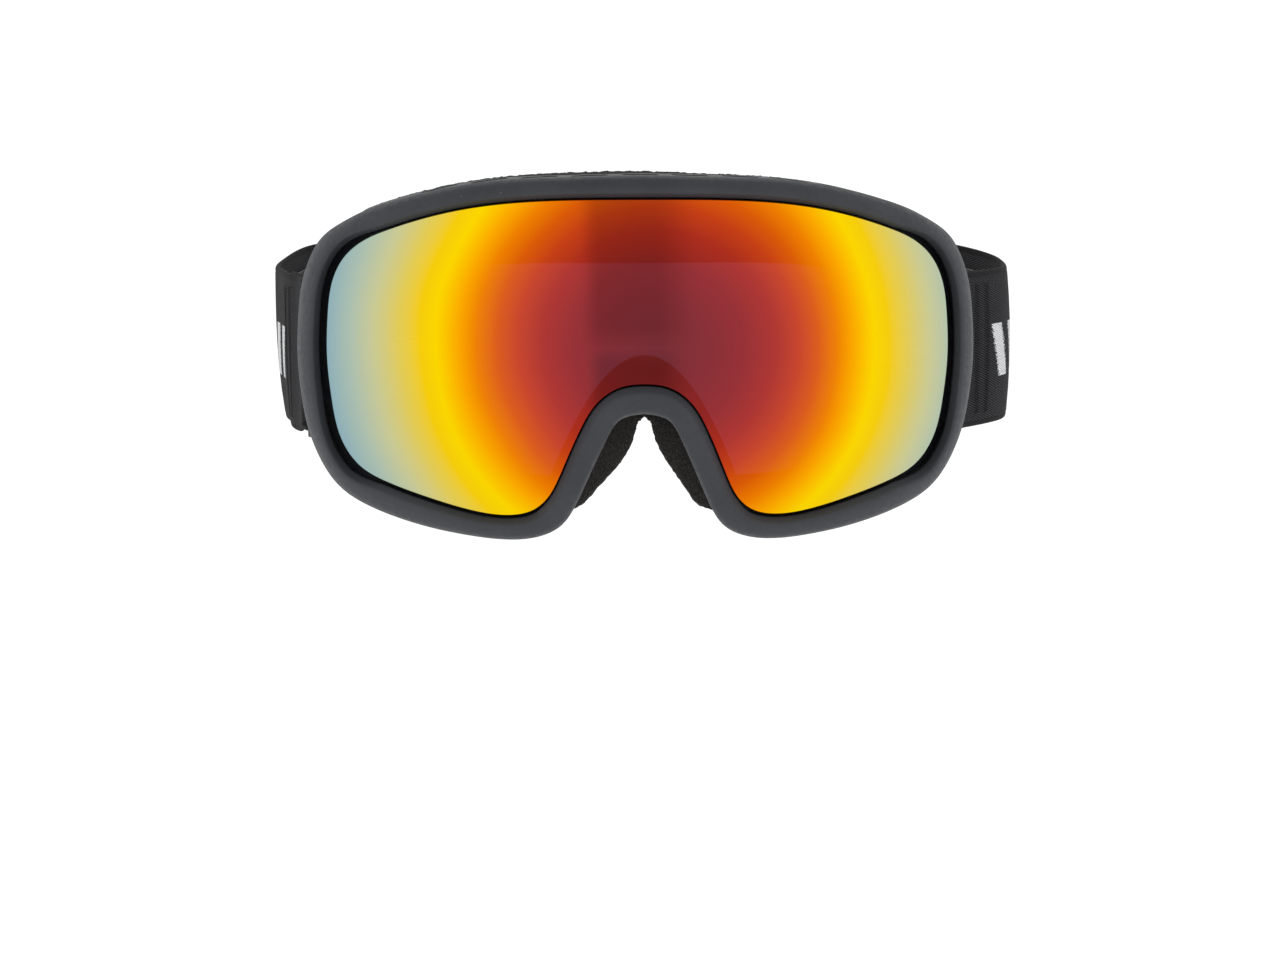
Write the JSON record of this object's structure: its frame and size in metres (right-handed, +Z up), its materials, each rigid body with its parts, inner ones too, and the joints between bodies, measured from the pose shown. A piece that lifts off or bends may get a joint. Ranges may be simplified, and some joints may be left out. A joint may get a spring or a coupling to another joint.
{
  "type": "ski goggles",
  "caption": "Ski goggles with a mirrored spherical double lens in a slim moulded frame, layered face foam, swivelling strap clips and an adjustable elastic strap.",
  "frame": {"origin": "the seat on the face: on the plane of symmetry, at the height of the lens apex, and level in depth with the rear of the face foam at the temples", "axes": "+X towards the wearer's left, +Y from the lens towards the head, +Z up"},
  "size_m": [0.2034, 0.1987, 0.095],
  "materials": {
    "frame": "soft-touch satin, fine grain",
    "lens_mirror": "mirror-coated polycarbonate",
    "lens_gasket": "matt foam tape",
    "lens_inner": "clear tinted acetate",
    "vent_foam": "open-cell foam",
    "face_foam": "dense foam",
    "soft_foam": "soft open-cell foam",
    "fleece": "brushed fleece",
    "stud": "black satin",
    "clip": "fine moulded grain",
    "webbing": "woven elastic webbing",
    "silicone": "satin silicone",
    "thread": "polyester thread",
    "slider": "fine moulded grain"
  },
  "bodies": {
    "goggles": {"frame": "frame", "outer_lens": "lens_mirror", "lens_spacer": "lens_gasket", "inner_lens": "lens_inner", "vent_foam_top": "vent_foam", "vent_foam_bottom_left": "vent_foam", "vent_foam_bottom_right": "vent_foam", "face_foam_base": "face_foam", "face_foam_soft": "soft_foam", "face_fleece": "fleece", "stud_left": "stud", "stud_right": "stud", "stud_cap_left": "stud", "stud_cap_right": "stud"},
    "strap_loop": {"clip_left": "clip", "clip_right": "clip", "strap_left": "webbing", "strap_right": "webbing", "grip_strips": "silicone", "bar_tacks": "thread"},
    "slider_left": {"slider_left": "slider"},
    "slider_right": {"slider_right": "slider"}
  },
  "joints": [
    {"name": "strap_swing", "type": "hinge", "parent": "goggles", "child": "strap_loop", "pos_m": [0, -0.01, -0.0034], "axis": [1, 0, 0], "range_deg": [-45, 45]},
    {"name": "slider_left_slide", "type": "slide", "parent": "strap_loop", "child": "slider_left", "axis": [1, 0, 0], "range_m": [-0.012, 0.008]},
    {"name": "slider_right_slide", "type": "slide", "parent": "strap_loop", "child": "slider_right", "axis": [-1, 0, 0], "range_m": [-0.012, 0.008]}
  ]
}
